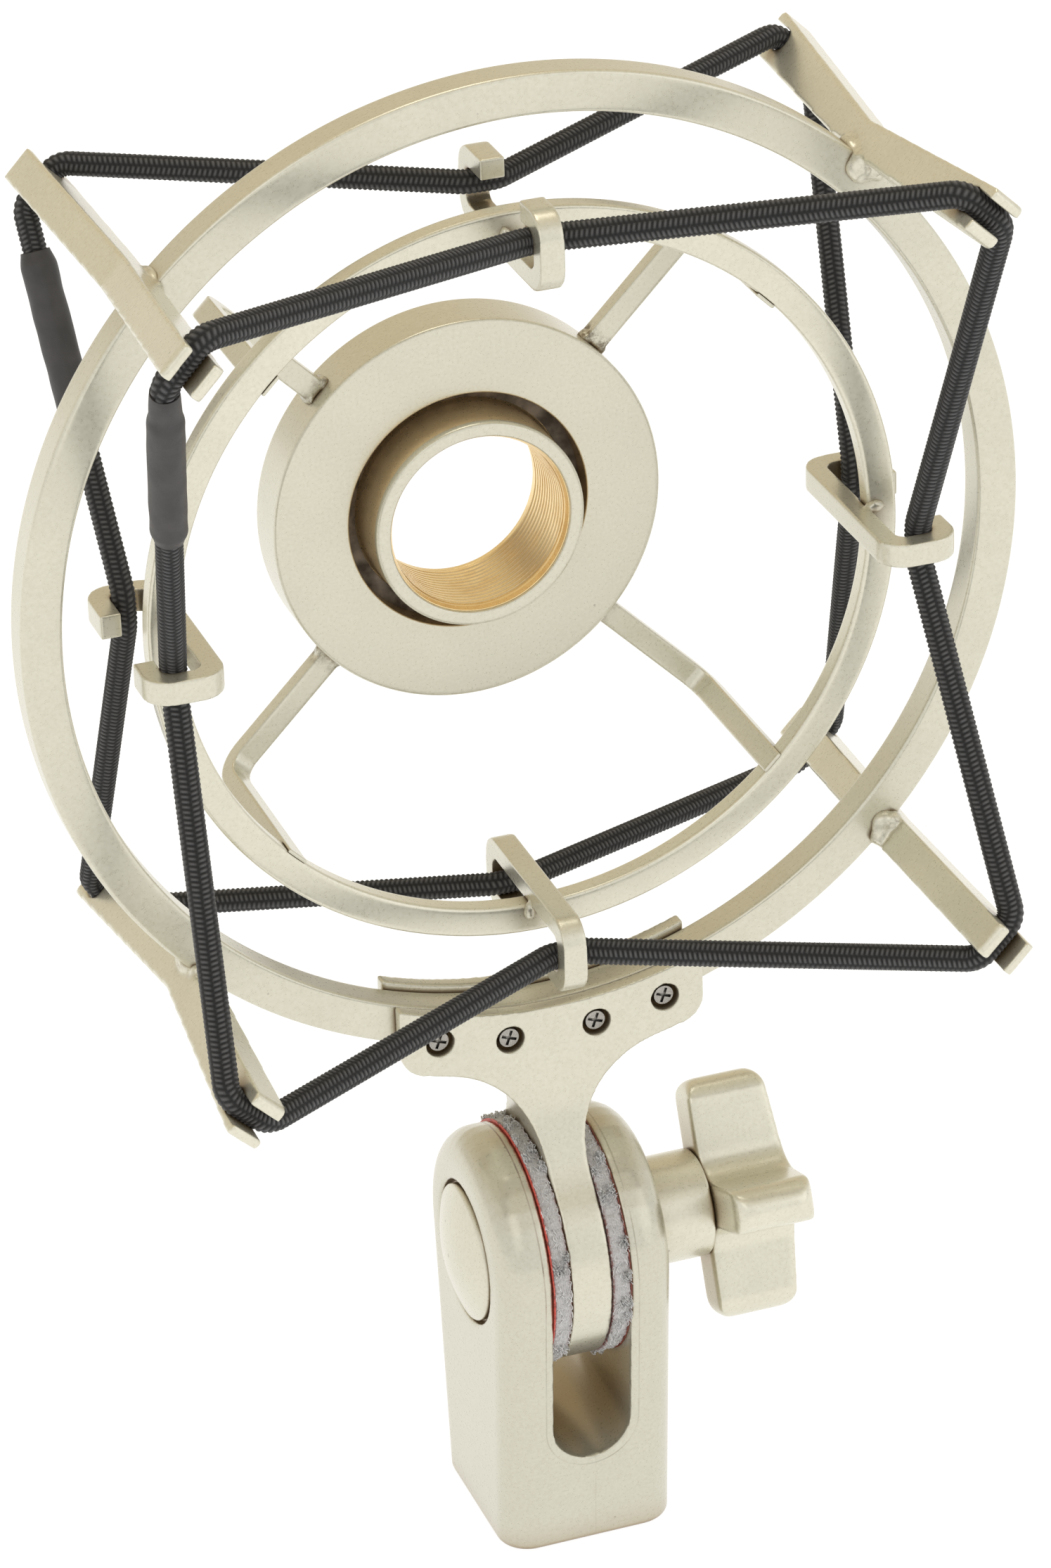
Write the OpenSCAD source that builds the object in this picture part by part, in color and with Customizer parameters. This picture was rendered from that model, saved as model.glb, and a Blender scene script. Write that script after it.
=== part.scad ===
// Elastic suspension mount for a microphone: a cradle hangs on two cord loops inside a ring frame,
// and the frame tilts on a clamp block that screws on to a stand.
// The origin is the mouth of the stand thread, in the middle of the block's foot.
// +Z is up, -Y is the front, and the clamp knob is on the +X side.

/* [Outer ring and arms] */
// Outside radius of the outer ring
ring_r = 75; // [72:1:80]
// Width of the outer ring's bar, along a radius
ring_w = 6; // [5:0.5:7]
// Depth of the outer ring's bar, along the microphone axis
ring_d = 5.5; // [4.5:0.5:6.5]
// Half the length of an arm, along the microphone axis
arm_half = 38.5; // [36:0.5:42]
// Thickness of an arm
arm_t = 5.4; // [4:0.2:6]
// Turn of the four arms from a true 45 degrees
arm_turn = 1.2; // [-2:0.1:2]

/* [Cradle] */
// Outside radius of the cradle's ring
cradle_r = 56.5; // [54:0.5:58]
// Width of the cradle ring's bar, along a radius
cradle_w = 4.5; // [4:0.5:5]
// Depth of the cradle ring's bar
cradle_d = 3.3; // [3:0.1:4]
// How far the cradle hangs below the outer ring's centre
cradle_drop = 1.4; // [0:0.2:2]
// Reach of a cord hook in front of the cradle's ring
hook_front = 16.1; // [15:0.1:18]
// Reach of a cord hook behind the cradle's ring
hook_rear = 18; // [15:0.1:19]
// Width of a hook, along the ring
hook_w = 3.6; // [3:0.2:4]
// Thickness of a hook's bar
hook_t = 3.1; // [2.6:0.1:3.4]
// Width of a spoke, along the ring
spoke_w = 3.6; // [3:0.2:4]
// Thickness of a spoke's bar
spoke_t = 2.6; // [2:0.1:3]

/* [Hub and collar] */
// Radius of the hub disc
hub_r = 29.75; // [29:0.25:31]
// Thickness of the hub disc
hub_t = 8.7; // [8:0.1:10]
// Distance of the hub's front face behind the middle of the rings
hub_y = 24.5; // [22:0.5:26]
// Radius of the hole in the hub
hub_hole_r = 18.3; // [18:0.1:19]
// Outside radius of the threaded collar
collar_r = 15.95; // [15.5:0.05:16]
// Radius of the collar's thread
collar_thread_r = 13.2; // [12.8:0.1:13.4]
// How far the collar stands out in front of the hub
collar_proud = 5.6; // [4:0.2:7]

/* [Cords] */
// Diameter of the elastic cord
cord_d = 3.4; // [3:0.1:3.5]
// Length of the wide part of a cord sleeve
sleeve_len = 25; // [18:1:26]

/* [Stand block] */
// Width of the block, ear to ear
block_w = 27.4; // [27:0.2:30]
// Depth of the block at its foot
block_d = 30; // [28:0.5:32]
// Height of the tilt pivot above the foot
pivot_h = 46; // [45:0.5:50]
// Radius of the ears about the pivot
ear_r = 18.6; // [18:0.1:19]
// Width of the slot between the ears
slot_w = 12.2; // [12:0.1:13]
// Depth of the slot below the pivot
slot_depth = 30.2; // [29:0.2:31]
// Wall radius of the stand thread (5/8 inch)
stand_thread_r = 7.55; // [7.4:0.05:7.7]
// Depth of the stand thread
stand_thread_len = 12; // [10:0.5:12]

/* [Tilt joint and knob] */
// Height of the outer ring's centre above the pivot
ring_lift = 111; // [110:0.5:114]
// Thickness of the tongue between the ears
tongue_t = 6.4; // [6.2:0.1:6.8]
// Radius of the clamp bolt
bolt_r = 4; // [3.5:0.1:4.5]
// Radius of the bolt's domed head
bolt_head_r = 10.5; // [10:0.1:10.8]
// Length of the spacer between the block and the knob
spacer_len = 10; // [7:0.5:12]
// Radius of the knob's four lobes
knob_r = 18.6; // [18:0.2:21]
// Width of one lobe
lobe_w = 7; // [6:0.5:8]

/* [Hidden] */

$fn = 64;
fit = 0.05;                            // running clearance, per side
pad_gap = 0.12;                        // clearance between a friction pad and the tongue
sink = 0.6;                            // depth that a welded bar reaches before it is trimmed to its ring
edge_r = 0.6;                          // edge radius of the ring bars
ring_z = pivot_h + ring_lift;

arm_waist = 4.7;                       // width of an arm at its middle
arm_end_in = 1.5;                      // an arm end's inner edge stands this far off the ring
arm_end_out = 8.8;                     // and its outer edge this far
cord_slot_w = cord_d + 0.2;
cord_slot_len = 6.2;
cord_slot_r = ring_r + (arm_end_in + arm_end_out) / 2 + 0.1;

cradle_in = cradle_r - cradle_w;       // inside radius of the cradle's ring
hook_gap = 5.6;                        // free width inside a hook, along a radius
hook_mouth = 8;                        // the hook's tips end this far from the ring's middle
spoke_y = hub_y + hub_t / 2 + 1.2;     // rear face of a spoke's radial leg
spoke_over = 2.1;                      // a spoke's forward leg reaches this far under the cradle's ring
spoke_bend_r = 5;

collar_len = collar_proud + hub_t + 1.3;
insert_wall = 0.6;                     // thickness of the brass thread insert
lip_t = 2.4;                           // rear lip that stops the collar's flange
flange_t = 1.5;
snap_t = 1;                            // thickness of the retaining ring
snap_y = hub_y + hub_t - lip_t - flange_t - 2 * fit - snap_t;

cord_sides = 16;
arm_cord_y = arm_half - cord_slot_len + cord_slot_w / 2;
hook_cord_in = hook_t + cord_d / 2 + 0.15;   // the cord's distance from a hook's tip
hook_cord_r = cradle_in + hook_gap - cord_d / 2 - 0.15;
sleeve_r = 2.6;
sleeve_neck_r = 2.2;

corner_r = 5;                          // upright corners and rims of the block
foot_r = 0.8;                          // small chamfer round the foot
recess_r = bolt_head_r + 0.6;
recess_depth = 1.5;
pad_r = ear_r + 0.2;
film_t = 0.12;                         // adhesive film behind a friction pad
pad_t = (slot_w - tongue_t) / 2 - film_t - pad_gap;

saddle_half = 23.7;                    // half width of the saddle
saddle_low_r = ring_r + 4;             // the saddle's lower edge, about the ring's centre
saddle_wall = 2.5;                     // thickness of the walls in front of and behind the ring
saddle_depth = ring_d + 2 * saddle_wall;
saddle_lip = 1;                        // the rear wall rises this far inside the ring
saddle_flank_r = 17;
tongue_blend_r = 26;
screw_x = [6.75, 17.6];
screw_r = 73.5;                        // distance of the screws from the ring's centre
screw_head_r = 1.85;
screw_shank_r = 1.25;
screw_hole_r = 2.15;

knob_x = block_w / 2 + spacer_len + 2 * fit;
knob_lean = 22;                        // turn of the lobes from upright, in degrees
knob_len = 13.9;                       // the knob's length at its middle
knob_tip_len = 12.8;                   // and at the tips of its lobes
insert_r = 6;
insert_len = 9;
bolt_end = knob_x + 11;

// ---- helpers ----

// Puts children in the outer ring's frame: X along the radius at this angle, Y along the ring's axis
module on_radius(angle) {
    translate([0, 0, ring_z])
        rotate([0, -angle, 0])
            children();
}

// The same in the cradle's frame
module on_cradle_radius(angle) {
    translate([0, 0, -cradle_drop])
        on_radius(angle)
            children();
}

// Turns a solid that was drawn about Z so that it lies along +Y
module along_y(y) {
    translate([0, y, 0])
        rotate([-90, 0, 0])
            children();
}

// Turns a solid that was drawn about Z so that it lies along +X
module along_x(x) {
    translate([x, 0, 0])
        rotate([0, 90, 0])
            children();
}

module at_pivot() {
    translate([0, 0, pivot_h])
        children();
}

module rounded_rect(w, h, r) {
    square([w - 2 * r, h], center = true);
    square([w, h - 2 * r], center = true);
    for (sx = [-1, 1], sy = [-1, 1])
        translate([sx * (w / 2 - r), sy * (h / 2 - r)])
            circle(r);
}

// A rectangle given by two opposite corners
module span(low, high) {
    translate(low)
        square(high - low);
}

// A ring about the Y axis with a rounded rectangular section
module ring_bar(outer, width, depth) {
    along_y(0)
        rotate_extrude()
            translate([outer - width / 2, 0])
                rounded_rect(width, depth, edge_r);
}

// Points of one concave blend, from the side of a circle about the origin down to a stem's side
function blend_points(circle_r, half, blend_r) =
    let (cx = half + blend_r, cy = sqrt(pow(circle_r + blend_r, 2) - cx * cx), start = atan2(cy, -cx))
    [for (i = [0 : 16]) let (a = start + (180 - start) * i / 16)
        [cx + blend_r * cos(a), -cy + blend_r * sin(a)]];

// A stem of this half width that leaves a circle downwards, with concave blends on both sides
module blended_stem(circle_r, half, blend_r, reach) {
    right = blend_points(circle_r, half, blend_r);
    foot = [[half, -reach], [-half, -reach]];
    left = [for (i = [len(right) - 1 : -1 : 0]) [-right[i].x, right[i].y]];
    polygon(concat(right, foot, left));
}

// ---- outer frame ----

module outer_ring() {
    color([0.84, 0.82, 0.76])
        on_radius(0)
            ring_bar(ring_r, ring_w, ring_d);
}

// Outline of an arm: X is the distance from the ring's axis and Y runs along that axis
module arm_outline() {
    inner_end = ring_r + arm_end_in;
    outer_end = ring_r + arm_end_out;
    tip_r = 0.9;
    difference() {
        polygon([[ring_r - sink, 0], [inner_end, arm_half], [outer_end, arm_half],
            [ring_r + arm_waist, 0], [outer_end, -arm_half], [inner_end, -arm_half]]);
        for (side = [-1, 1]) {
            translate([cord_slot_r, side * (arm_half - cord_slot_len + cord_slot_w / 2)])
                circle(d = cord_slot_w);
            translate([cord_slot_r, side * arm_half])
                square([cord_slot_w, 2 * cord_slot_len - cord_slot_w], center = true);
            for (x = [inner_end, outer_end])
                translate([x, side * arm_half])
                    rotate(45)
                        square(tip_r, center = true);
        }
    }
}

module arm(angle) {
    color([0.84, 0.82, 0.76])
        difference() {
            on_radius(angle + arm_turn)
                linear_extrude(arm_t, center = true)
                    arm_outline();
            on_radius(0)
                along_y(-ring_d)
                    cylinder(r = ring_r, h = 2 * ring_d);
        }
}

module arm_top_right() {
    arm(45);
}

module arm_top_left() {
    arm(135);
}

module arm_bottom_left() {
    arm(225);
}

module arm_bottom_right() {
    arm(315);
}

// Front view of the saddle's rim, about the ring's centre
module saddle_rim() {
    corner = 4.5;
    corner_x = saddle_half - corner;
    corner_y = -sqrt(pow(saddle_low_r - corner, 2) - corner_x * corner_x);
    intersection() {
        difference() {
            circle(saddle_low_r, $fn = 160);
            circle(ring_r - ring_w - saddle_lip, $fn = 160);
        }
        union() {
            span([-corner_x, -saddle_low_r], [corner_x, corner_y]);
            span([-saddle_half, corner_y], [saddle_half, -ring_r / 2]);
            for (side = [-1, 1])
                translate([side * corner_x, corner_y])
                    circle(corner);
        }
    }
}

// The neck flares from the tongue's width into the rim, and from the rim's depth into the tongue's disc
module saddle_neck() {
    intersection() {
        translate([0, ring_lift, ring_z])
            rotate([90, 0, 0])
                linear_extrude(2 * ring_lift)
                    blended_stem(saddle_low_r, tongue_t / 2, saddle_flank_r, ring_lift);
        translate([-ring_r, 0, pivot_h])
            rotate([90, 0, 90])
                linear_extrude(2 * ring_r)
                    rotate(180)
                        blended_stem(ear_r, saddle_depth / 2, tongue_blend_r, ring_lift);
    }
}

// The space that the ring's bar fills between the saddle's two walls, open over the front wall
module ring_seat() {
    on_radius(0) {
        along_y(-ring_d / 2 - fit)
            cylinder(r = ring_r + fit, h = ring_d + 2 * fit, $fn = 160);
        along_y(-ring_lift)
            cylinder(r = ring_r - ring_w, h = ring_lift, $fn = 160);
    }
}

module at_screws() {
    for (side = [-1, 1], x = screw_x)
        translate([side * x, 0, ring_z - sqrt(screw_r * screw_r - x * x)])
            children();
}

module saddle_bracket() {
    front = -saddle_depth / 2;
    color([0.84, 0.82, 0.76])
        difference() {
            union() {
                translate([0, saddle_depth / 2, ring_z])
                    rotate([90, 0, 0])
                        linear_extrude(saddle_depth)
                            saddle_rim();
                saddle_neck();
                at_pivot()
                    along_x(-tongue_t / 2)
                        cylinder(r = ear_r, h = tongue_t);
            }
            ring_seat();
            at_pivot()
                along_x(-tongue_t)
                    cylinder(r = bolt_r + fit, h = 2 * tongue_t);
            at_screws() {
                along_y(front - 1)
                    cylinder(r = screw_hole_r, h = 1 + saddle_wall - 0.6);
                along_y(front)
                    cylinder(r = screw_shank_r + fit, h = saddle_depth - 0.8);
            }
        }
}

// Four recessed cross-head screws that hold the ring in the saddle
module saddle_screws() {
    seat = -ring_d / 2 - 0.6;
    color([0.72, 0.7, 0.66])
        at_screws() {
            difference() {
                along_y(seat - 1.1)
                    cylinder(r1 = screw_head_r - 0.35, r2 = screw_head_r, h = 1.1);
                for (turn = [20, 110])
                    translate([0, seat - 1.1, 0])
                        rotate([0, turn, 0])
                            cube([2.4, 1, 0.45], center = true);
            }
            along_y(seat)
                cylinder(r = screw_shank_r, h = ring_d + saddle_wall - 0.6);
        }
}

// The ring's bar, with the four holes that the saddle's screws pass through
module drilled_ring() {
    difference() {
        outer_ring();
        at_screws()
            along_y(-ring_d)
                cylinder(r = screw_shank_r + fit, h = 2 * ring_d);
    }
}

// ---- elastic cords ----

// The two ends of the short straight run of cord through an arm's slot or a hook
function arm_run(angle, side) =
    let (a = angle + arm_turn, half = arm_t / 2 + 1.2)
    [for (end = [-1, 1]) [cord_slot_r * cos(a) - end * half * sin(a), side * arm_cord_y,
        ring_z + cord_slot_r * sin(a) + end * half * cos(a)]];

function hook_run(angle, side) =
    let (half = hook_w / 2 + 0.6, y = side < 0 ? hook_cord_in - hook_front : hook_rear - hook_cord_in)
    [for (end = [-1, 1]) [hook_cord_r * cos(angle) - end * half * sin(angle), y,
        ring_z - cradle_drop + hook_cord_r * sin(angle) + end * half * cos(angle)]];

function cord_points(side) =
    [for (k = [0 : 3]) each concat(hook_run(90 * k, side), arm_run(90 * k + 45, side))];

function unit(v) = v / norm(v);

// Corners of the cord's section at one point of its path, in the plane that halves the bend
function section_points(before, at, after) =
    let (t = unit(unit(at - before) + unit(after - at)), out = [at.x, 0, at.z - ring_z],
        n = unit(out - (out * t) * t), b = cross(t, n))
    [for (j = [0 : cord_sides - 1]) let (a = 360 * j / cord_sides)
        at + cord_d / 2 * (cos(a) * n + sin(a) * b)];

// A closed loop of cord as one tube
module cord(side) {
    path = cord_points(side);
    count = len(path);
    points = [for (i = [0 : count - 1])
        each section_points(path[(i + count - 1) % count], path[i], path[(i + 1) % count])];
    faces = [for (i = [0 : count - 1], j = [0 : cord_sides - 1])
        let (i2 = (i + 1) % count, j2 = (j + 1) % cord_sides)
        [i * cord_sides + j, i2 * cord_sides + j, i2 * cord_sides + j2, i * cord_sides + j2]];
    color([0.15, 0.14, 0.14])
        polyhedron(points, faces, convexity = 10);
}

module front_cord() {
    cord(-1);
}

module rear_cord() {
    cord(1);
}

// Puts children at one point with their Z axis towards another
module towards(from, to) {
    d = to - from;
    translate(from)
        rotate([0, acos(d.z / norm(d)), atan2(d.y, d.x)])
            children();
}

// Shrink sleeve over the joint of a cord loop: a neck that starts below the top left arm, then a wider body
module cord_sleeve(side, start, neck) {
    from = arm_run(135, side)[1];
    to = hook_run(180, side)[0];
    color([0.28, 0.27, 0.27])
        towards(from, to)
            difference() {
                union() {
                    translate([0, 0, start])
                        cylinder(r = sleeve_neck_r, h = neck + 1);
                    translate([0, 0, start + neck])
                        cylinder(r = sleeve_r, h = sleeve_len);
                }
                cylinder(d = cord_d + 2 * fit, h = 2 * sleeve_len);
            }
}

module front_cord_sleeve() {
    cord_sleeve(-1, 1.4, 4.2);
}

module rear_cord_sleeve() {
    cord_sleeve(1, 6.4, 0.6);
}

// ---- cradle ----

module inner_ring() {
    color([0.84, 0.82, 0.76])
        on_cradle_radius(0)
            ring_bar(cradle_r, cradle_w, cradle_d);
}

// Everything outside the cradle ring's bore, used to trim the bars that are welded inside it
module cradle_ring_zone() {
    on_cradle_radius(0)
        along_y(-cradle_d / 2)
            difference() {
                cylinder(r = cradle_r, h = cradle_d, $fn = 128);
                cylinder(r = cradle_in, h = cradle_d, $fn = 128);
            }
}

// A C-shaped hook whose two ends curl outwards round the cords
module hook(angle) {
    inner = cradle_in - hook_t;
    outer = cradle_in + hook_gap + hook_t;
    middle = (inner + outer) / 2;
    reach = hook_front + hook_rear;
    centre = (hook_rear - hook_front) / 2;
    color([0.84, 0.82, 0.76])
        difference() {
            on_cradle_radius(angle)
                linear_extrude(hook_w, center = true)
                    difference() {
                        translate([middle, centre])
                            rounded_rect(outer - inner, reach, 4.2);
                        translate([cradle_in + hook_gap / 2, centre])
                            rounded_rect(hook_gap, reach - 2 * hook_t, 1.7);
                        span([cradle_in + hook_gap / 2, -hook_mouth], [outer + 1, hook_mouth]);
                    }
            cradle_ring_zone();
        }
}

module hook_right() {
    hook(0);
}

module hook_top() {
    hook(90);
}

module hook_left() {
    hook(180);
}

module hook_bottom() {
    hook(270);
}

// A bar that runs out from the hub, bends forwards and is welded to the rear of the cradle's ring
module spoke(angle) {
    far = hub_y * 2;
    bar_out = cradle_in + spoke_over;
    bar_in = bar_out - spoke_t;
    color([0.84, 0.82, 0.76])
        difference() {
            on_cradle_radius(angle)
                linear_extrude(spoke_w, center = true)
                    intersection() {
                        span([hub_r - sink, -cradle_d / 2], [bar_out, far]);
                        difference() {
                            translate([0, spoke_y - far])
                                rounded_rect(2 * bar_out, 2 * far, spoke_bend_r);
                            translate([0, spoke_y - spoke_t - far])
                                rounded_rect(2 * bar_in, 2 * far, spoke_bend_r - spoke_t);
                        }
                    }
            cradle_ring_zone();
            on_cradle_radius(0)
                along_y(0)
                    cylinder(r = hub_r, h = 2 * far);
        }
}

module spoke_top_right() {
    spoke(45);
}

module spoke_top_left() {
    spoke(135);
}

module spoke_bottom_left() {
    spoke(225);
}

module spoke_bottom_right() {
    spoke(315);
}

module hub_disc() {
    lip_r = collar_r + fit;
    color([0.84, 0.82, 0.76])
        on_cradle_radius(0)
            along_y(0)
                rotate_extrude()
                    difference() {
                        translate([(hub_r + lip_r) / 2, hub_y + hub_t / 2])
                            rounded_rect(hub_r - lip_r, hub_t, edge_r);
                        span([0, hub_y - 1], [hub_hole_r, hub_y + hub_t - lip_t]);
                        span([0, snap_y - fit], [hub_hole_r + 1, snap_y + snap_t + fit]);
                    }
}

// Split spring ring in the hub's groove that keeps the collar in place
module collar_retaining_ring() {
    color([0.3, 0.28, 0.25])
        on_cradle_radius(0)
            along_y(snap_y)
                difference() {
                    cylinder(r = hub_hole_r + 0.9, h = snap_t);
                    cylinder(r = collar_r + 0.4, h = 3 * snap_t, center = true);
                    rotate(40)
                        translate([hub_hole_r, 0, 0])
                            cube([8, 3, 4 * snap_t], center = true);
                }
}

// Free-turning sleeve with a flange that runs between the retaining ring and the hub's rear lip
module collar_sleeve() {
    front = hub_y - collar_proud;
    flange_y = snap_y + snap_t + 2 * fit;
    bore_r = collar_thread_r + insert_wall;
    color([0.84, 0.82, 0.76])
        on_cradle_radius(0)
            along_y(0)
                rotate_extrude()
                    difference() {
                        union() {
                            translate([(bore_r + collar_r) / 2, front + collar_len / 2])
                                rounded_rect(collar_r - bore_r, collar_len, 0.4);
                            span([collar_r - 1, flange_y], [hub_hole_r - 0.1, flange_y + flange_t - fit]);
                        }
                        span([0, front], [bore_r, front + collar_len]);
                    }
}

// Brass insert that holds the fine thread for the microphone's foot
module collar_thread_insert() {
    inset = 0.5;
    front = hub_y - collar_proud + inset;
    color([0.88, 0.72, 0.43])
        on_cradle_radius(0)
            along_y(front)
                difference() {
                    cylinder(r = collar_thread_r + insert_wall, h = collar_len - 2 * inset);
                    translate([0, 0, -1])
                        cylinder(r = collar_thread_r, h = collar_len + 2);
                }
}

// ---- stand block and clamp ----

// Upright block with rounded corners that swells into two round ears at the pivot
module block_shell() {
    hull()
        for (sx = [-1, 1]) {
            translate([sx * (block_w / 2 - corner_r), 0, pivot_h])
                rotate([0, 90, 0])
                    rotate_extrude($fn = 40)
                        translate([ear_r - corner_r, 0])
                            circle(corner_r, $fn = 32);
            for (sy = [-1, 1])
                translate([sx * (block_w / 2 - corner_r), sy * (block_d / 2 - corner_r), 0]) {
                    cylinder(r1 = corner_r - foot_r, r2 = corner_r, h = foot_r, $fn = 32);
                }
        }
}

module stand_block() {
    far = 2 * ear_r;
    floor_z = pivot_h - slot_depth;
    color([0.84, 0.82, 0.76])
        difference() {
            block_shell();
            translate([0, 0, floor_z + slot_w / 2])
                along_y(-far)
                    cylinder(d = slot_w, h = 2 * far);
            translate([-slot_w / 2, -far, floor_z + slot_w / 2])
                cube([slot_w, 2 * far, 2 * far]);
            at_pivot() {
                along_x(-block_w)
                    cylinder(r = bolt_r + fit, h = 2 * block_w);
                along_x(-block_w)
                    cylinder(r = recess_r, h = block_w / 2 + recess_depth);
            }
            translate([0, 0, -1])
                cylinder(r = stand_thread_r, h = stand_thread_len + 1);
        }
}

// Clamp bolt with a wide domed head on the left
module pivot_bolt() {
    rim_x = -block_w / 2 + recess_depth;
    rim_t = 1.6;
    dome_h = 2.4;
    dome_r = (bolt_head_r * bolt_head_r + dome_h * dome_h) / (2 * dome_h);
    color([0.84, 0.82, 0.76])
        at_pivot() {
            along_x(rim_x - rim_t)
                cylinder(r = bolt_head_r, h = rim_t);
            intersection() {
                translate([rim_x - rim_t - dome_h + dome_r, 0, 0])
                    sphere(dome_r, $fn = 128);
                along_x(rim_x - rim_t - dome_h)
                    cylinder(r = bolt_head_r, h = dome_h);
            }
            along_x(rim_x)
                cylinder(r = bolt_r, h = bolt_end - rim_x);
        }
}

// A disc round the bolt in the gap between an ear and the tongue
module clamp_disc(x, r, t) {
    at_pivot()
        difference() {
            along_x(x)
                cylinder(r = r, h = t);
            along_x(x - 1)
                cylinder(r = bolt_r + 4 * fit, h = t + 2);
        }
}

module friction_pad_left() {
    color([0.7, 0.69, 0.67])
        clamp_disc(-slot_w / 2 + film_t, pad_r, pad_t);
}

module friction_pad_right() {
    color([0.7, 0.69, 0.67])
        clamp_disc(tongue_t / 2 + pad_gap, pad_r, pad_t);
}

module pad_film_left() {
    color([0.75, 0.2, 0.18])
        clamp_disc(-slot_w / 2, pad_r - 0.1, film_t);
}

module pad_film_right() {
    color([0.75, 0.2, 0.18])
        clamp_disc(slot_w / 2 - film_t, pad_r - 0.1, film_t);
}

module knob_spacer() {
    color([0.84, 0.82, 0.76])
        at_pivot()
            difference() {
                along_x(block_w / 2 + fit)
                    cylinder(r = 8.3, h = spacer_len);
                along_x(0)
                    cylinder(r = bolt_r + 2 * fit, h = block_w);
            }
}

// End view of the knob: two crossed bars with round ends and concave blends between them
module knob_star() {
    tip = knob_r - lobe_w / 2;
    blend = 4.5;
    corner = lobe_w / 2 + blend;
    for (turn = [0 : 90 : 270])
        rotate(turn - knob_lean) {
            span([0, -lobe_w / 2], [tip, lobe_w / 2]);
            translate([tip, 0])
                circle(lobe_w / 2);
            difference() {
                span([0, 0], [corner, corner]);
                translate([corner, corner])
                    circle(blend);
            }
        }
}

// Side view of half the knob: X is the distance from its axis and Y runs along the axis
module knob_profile() {
    round_r = 2.5;
    tip_top = knob_tip_len - round_r;
    union() {
        span([0, 0], [knob_r - round_r, tip_top]);
        span([0, round_r], [knob_r, tip_top]);
        for (y = [round_r, tip_top])
            translate([knob_r - round_r, y])
                circle(round_r);
        polygon([[0, tip_top], [knob_r - round_r, tip_top], [knob_r - round_r + 0.6, knob_tip_len - 0.1],
            [6.5, knob_len], [0, knob_len]]);
    }
}

module clamp_knob() {
    color([0.84, 0.82, 0.76])
        at_pivot()
            difference() {
                intersection() {
                    along_x(knob_x)
                        linear_extrude(knob_len)
                            knob_star();
                    along_x(knob_x)
                        rotate_extrude()
                            intersection() {
                                knob_profile();
                                span([0, 0], [2 * knob_r, knob_len]);
                            }
                }
                along_x(knob_x - 1)
                    cylinder(r = insert_r, h = insert_len + 1);
                along_x(knob_x)
                    cylinder(r = bolt_r + 0.4, h = bolt_end - knob_x + 1);
            }
}

// Threaded metal insert inside the knob
module knob_insert() {
    color([0.75, 0.74, 0.7])
        at_pivot()
            difference() {
                along_x(knob_x)
                    cylinder(r = insert_r, h = insert_len);
                along_x(knob_x - 1)
                    cylinder(r = bolt_r + fit, h = insert_len + 2);
            }
}

stand_block();
pivot_bolt();
friction_pad_left();
friction_pad_right();
pad_film_left();
pad_film_right();
knob_spacer();
clamp_knob();
knob_insert();
saddle_bracket();
saddle_screws();
drilled_ring();  // outer_ring
arm_top_right();
arm_top_left();
arm_bottom_left();
arm_bottom_right();
front_cord();
rear_cord();
front_cord_sleeve();
rear_cord_sleeve();
inner_ring();
hook_right();
hook_top();
hook_left();
hook_bottom();
spoke_top_right();
spoke_top_left();
spoke_bottom_left();
spoke_bottom_right();
hub_disc();
collar_retaining_ring();
collar_sleeve();
collar_thread_insert();
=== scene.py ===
"""Looks of the elastic shock mount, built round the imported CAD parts. Lengths are in metres."""

import math

import bmesh
import bpy
import numpy as np
from mathutils import Matrix, Vector, noise


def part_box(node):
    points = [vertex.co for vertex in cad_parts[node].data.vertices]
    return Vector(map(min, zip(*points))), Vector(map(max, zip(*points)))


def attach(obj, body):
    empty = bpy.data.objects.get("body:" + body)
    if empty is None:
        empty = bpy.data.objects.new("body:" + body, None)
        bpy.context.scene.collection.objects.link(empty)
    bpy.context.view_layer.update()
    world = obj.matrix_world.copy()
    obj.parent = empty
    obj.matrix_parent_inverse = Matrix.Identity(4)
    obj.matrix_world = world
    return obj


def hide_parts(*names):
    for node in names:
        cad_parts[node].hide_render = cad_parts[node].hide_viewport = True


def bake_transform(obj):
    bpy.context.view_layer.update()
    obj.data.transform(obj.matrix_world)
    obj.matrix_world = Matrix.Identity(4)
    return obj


MM = 0.001
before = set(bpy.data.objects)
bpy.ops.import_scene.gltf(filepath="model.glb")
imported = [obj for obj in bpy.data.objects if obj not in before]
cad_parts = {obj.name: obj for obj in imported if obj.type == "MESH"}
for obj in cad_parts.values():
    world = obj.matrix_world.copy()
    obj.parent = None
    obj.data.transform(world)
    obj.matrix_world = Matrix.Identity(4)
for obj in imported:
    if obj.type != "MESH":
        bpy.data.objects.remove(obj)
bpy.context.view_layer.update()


# ---- values read from the frame ----

def centre_of(node):
    low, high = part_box(node)
    return (low + high) / 2


def points_of_mesh(obj):
    points = np.empty(len(obj.data.vertices) * 3)
    obj.data.vertices.foreach_get("co", points)
    return points.reshape(-1, 3)


def points_of(node):
    return points_of_mesh(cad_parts[node])


def radii(node, centre, along):
    """Smallest and largest distance of a CAD node's points from a line through centre along X (0) or Y (1)."""
    across = [k for k in range(3) if k != along]
    distance = np.linalg.norm(points_of(node)[:, across] - np.array(centre)[across], axis=1)
    return distance.min(), distance.max()


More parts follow.
